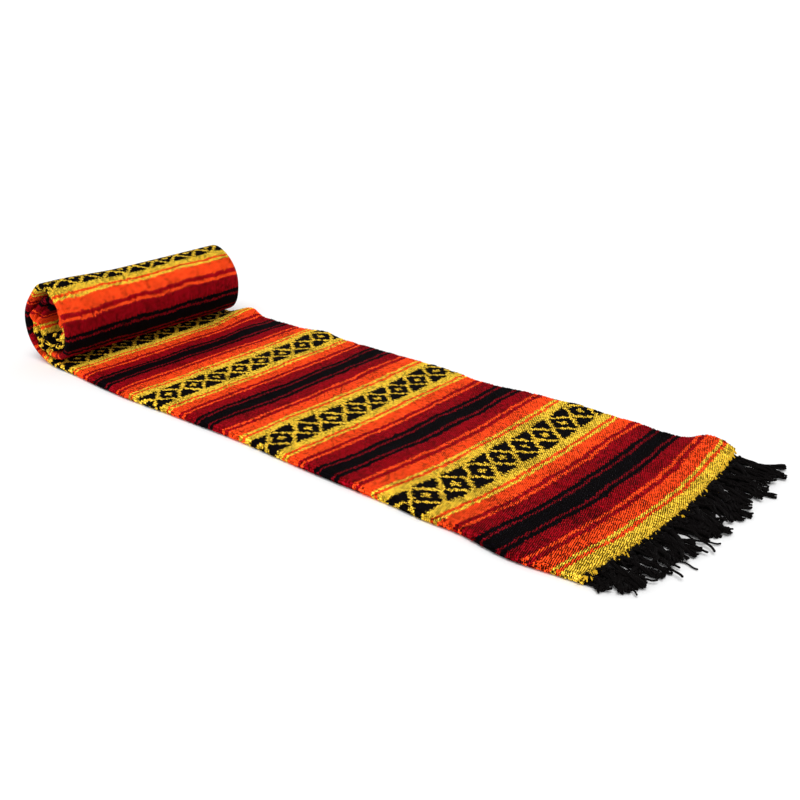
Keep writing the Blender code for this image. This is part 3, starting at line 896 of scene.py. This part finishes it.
# Beads of weft that stand out along both folds: each follows the round of the fold over one rib, thinner at
# its ends, and takes its colour from the place on the cloth that it covers
def makeFoldBeads():
    random = np.random.default_rng(foldBeads["seed"])
    count = int(blanket["runLength"] / weave["bead"]) - 2
    along = (np.arange(count) + 0.7)[:, None] * weave["bead"]
    ply = blanket["ply"]
    t = np.linspace(-1, 1, foldBeads["points"])[None, :]
    profile = np.clip(1 - 0.5 * t ** 4, 0, 1)
    paths, radii, places = [], [], []
    lipRadius = (ply + blanket["gap"] + blanket["foldSwell"]) / 2
    lift = blanket["foldSwell"] + sumOf(rightRipples, "lift", along)
    lipCentre = (rightEdge(along) - lipRadius - ply / 2, stack - ply / 2 + lift - lipRadius)
    foldCentre = (leftEdge(along) + stack / 2, stack / 2 + 0 * along)
    rows = [(lipCentre, lipRadius, angle) for angle in (98, 66, 33, -30)]
    rows += [(foldCentre, (stack - ply) / 2, angle) for angle in (75, 105, 135, 165, 195)]
    for (centreX, centreDepth), arcRadius, angle in rows:
        shifted = along + weave["bead"] * random.uniform(-0.25, 0.25, (count, 1))
        shifted = shifted + 0.5 * weave["bead"] * (angle % 2)
        out = (arcRadius + blanket["wall"] / 2 - foldBeads["radius"] + foldBeads["proud"]
               + random.uniform(-0.0003, 0.0008, (count, 1)))
        turned = np.radians(angle) + t * foldBeads["reach"] / (arcRadius + ply / 2)
        x = centreX + out * np.cos(turned)
        depth = centreDepth + out * np.sin(turned)
        wound = arcRadius * (turned - np.pi / 2)
        paths.append(placeOnRun(x, depth, shifted + weave["slant"] * weave["bead"] * 0.5 * t))
        radii.append(foldBeads["radius"] * random.uniform(0.8, 1.15, (count, 1)) * profile)
        places.append(np.stack([centreX - wound, runPlaceOnCloth(x, shifted + 0 * x)], -1))
    return addYarns("foldBeads", np.concatenate(paths), np.concatenate(radii), foldBeads["sides"], striped,
                    np.concatenate(places))


farFringe = dict(strands=150, points=14, sides=5, yarnRadius=0.0009, seed=23)


# Far fringe, wound in the core: strands that follow the last part of the spiral and fan a little across
def makeFarFringe():
    random = np.random.default_rng(farFringe["seed"])
    count = farFringe["strands"]
    begin = 2 * np.pi * blanket["turns"]
    x = np.linspace(0.042, blanket["rollWidth"] - 0.012, count)
    t = np.linspace(0, 1, farFringe["points"])[None, :]
    angle = begin - 0.15 + t * random.uniform(2.6, 3.7, count)[:, None]
    depth = random.uniform(0.0025, 0.0085, count)[:, None]
    depth = depth + 0.0008 * np.sin(t * random.uniform(4, 9, count)[:, None])
    sway = random.normal(0, 0.005, count)[:, None] * t
    paths = placeOnRoll(x[:, None] + sway, depth, angle)
    radius = farFringe["yarnRadius"] * np.ones((count, farFringe["points"]))
    return addYarns("farFringe", paths, radius, farFringe["sides"], blackYarn)


nearFringePiece = makeNearFringe()
tufts = makeWeftTufts()
beadsOfFolds = makeFoldBeads()
farFringePiece = makeFarFringe()
print("fringes ready")

standsFor = [
    (runCloth, ["run_outer_ply"], "striped_weave"), (runInnerPlies, ["run_hidden_plies"], "striped_weave"),
    (rollCloth, ["roll_outer_ply"], "striped_weave"), (innerTurns, ["roll_hidden_turns"], "striped_weave"),
    (rollInnerPlies, ["roll_hidden_turns"], "striped_weave"), (tufts, [], "striped_weave"),
    (beadsOfFolds, [], "striped_weave"),
    (nearFringePiece, ["fringe_near"], "black_fringe"), (farFringePiece, ["fringe_far"], "black_fringe"),
]
for piece, nodes, slotName in standsFor:
    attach(piece, "root")
    if nodes:
        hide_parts(*nodes)

studio = dict(
    cameraPlace=(-0.8875, -0.8790, 0.538), yaw=48.31, pitch=22.9, roll=-1.37, lens=43.07,
    worldStrength=0.48, keyStrength=2.15, keySoftness=45.0, keyFrom=(-0.58, -0.52, 1.8),
    floorFlat=12.0, floorReach=56.0, floorRise=20.0, floorBelow=0.0002, floorTone=0.93,
    floorRings=16, floorSides=96,
)


# One grey tone, without gloss
def plainMaterial(name, tone):
    material = bpy.data.materials.new(name)
    material.use_nodes = True
    shader = material.node_tree.nodes["Principled BSDF"]
    shader.inputs["Base Color"].default_value = (tone, tone, tone, 1)
    shader.inputs["Roughness"].default_value = 0.9
    return material


# Round floor, flat in the middle, whose outer part rises as the square of the distance so that no horizon
# shows. It stays within the distance that the other views draw, a hundred times the blanket's radius.
def makeFloor():
    rings, sides = studio["floorRings"], studio["floorSides"]
    turn = np.linspace(0, 2 * np.pi, sides, endpoint=False)[None, :]
    share = np.linspace(0, 1, rings)[:, None]
    reach = studio["floorFlat"] + (studio["floorReach"] - studio["floorFlat"]) * share
    height = studio["floorRise"] * share ** 2 + 0 * turn - studio["floorBelow"]
    points = np.stack([reach * np.cos(turn), reach * np.sin(turn), height], -1).reshape(-1, 3)
    index = np.arange(points.shape[0]).reshape(rings, sides)
    nextIndex = np.roll(index, -1, axis=1)
    walls = np.stack([index[:-1], index[1:], nextIndex[1:], nextIndex[:-1]], -1).reshape(-1, 4)
    mesh = bpy.data.meshes.new("floor")
    mesh.from_pydata(points.tolist(), [], [index[0].tolist()] + walls.tolist())
    mesh.shade_smooth()
    mesh.materials.append(plainMaterial("paleFloor", studio["floorTone"]))
    floor = bpy.data.objects.new("floor", mesh)
    bpy.context.scene.collection.objects.link(floor)


# One broad soft light, far away, from over the camera's side
def addSoftLight():
    lamp = bpy.data.lights.new("key", "SUN")
    lamp.energy = studio["keyStrength"]
    lamp.angle = math.radians(studio["keySoftness"])
    light = bpy.data.objects.new("key", lamp)
    away = np.array(studio["keyFrom"]) / np.linalg.norm(studio["keyFrom"])
    side = np.cross([0.0, 1.0, 0.0], away)
    side = side / np.linalg.norm(side)
    light.matrix_world = Matrix([[*row, 0.0] for row in np.stack([side, np.cross(away, side), away], 1)]
                                + [[0, 0, 0, 1]])
    bpy.context.scene.collection.objects.link(light)


# Camera from its place, heading, tilt and lean
def makeCamera():
    yaw, pitch, lean = (math.radians(studio[key]) for key in ("yaw", "pitch", "roll"))
    forward = np.array([math.sin(yaw) * math.cos(pitch), math.cos(yaw) * math.cos(pitch), -math.sin(pitch)])
    right = np.array([math.cos(yaw), -math.sin(yaw), 0.0])
    up = np.cross(right, forward)
    leanRight = right * math.cos(lean) + up * math.sin(lean)
    leanUp = up * math.cos(lean) - right * math.sin(lean)
    camera = bpy.data.objects.new("camera", bpy.data.cameras.new("camera"))
    camera.data.lens = studio["lens"]
    camera.data.sensor_width = 36
    camera.data.clip_start = 0.01
    axes = np.stack([leanRight, leanUp, -forward], 1)
    rows = [[*row, place] for row, place in zip(axes, studio["cameraPlace"])]
    camera.matrix_world = Matrix(rows + [[0, 0, 0, 1]])
    bpy.context.scene.collection.objects.link(camera)
    bpy.context.scene.camera = camera


# White surroundings and the lamp, with colours shown as they are
def makeStudio():
    world = bpy.data.worlds.new("studio")
    bpy.context.scene.world = world
    world.use_nodes = True
    background = world.node_tree.nodes["Background"]
    background.inputs["Color"].default_value = (1, 1, 1, 1)
    background.inputs["Strength"].default_value = studio["worldStrength"]
    addSoftLight()
    bpy.context.scene.view_settings.view_transform = "Standard"


makeFloor()
makeCamera()
makeStudio()
print("studio ready")

bpy.context.view_layer.update()
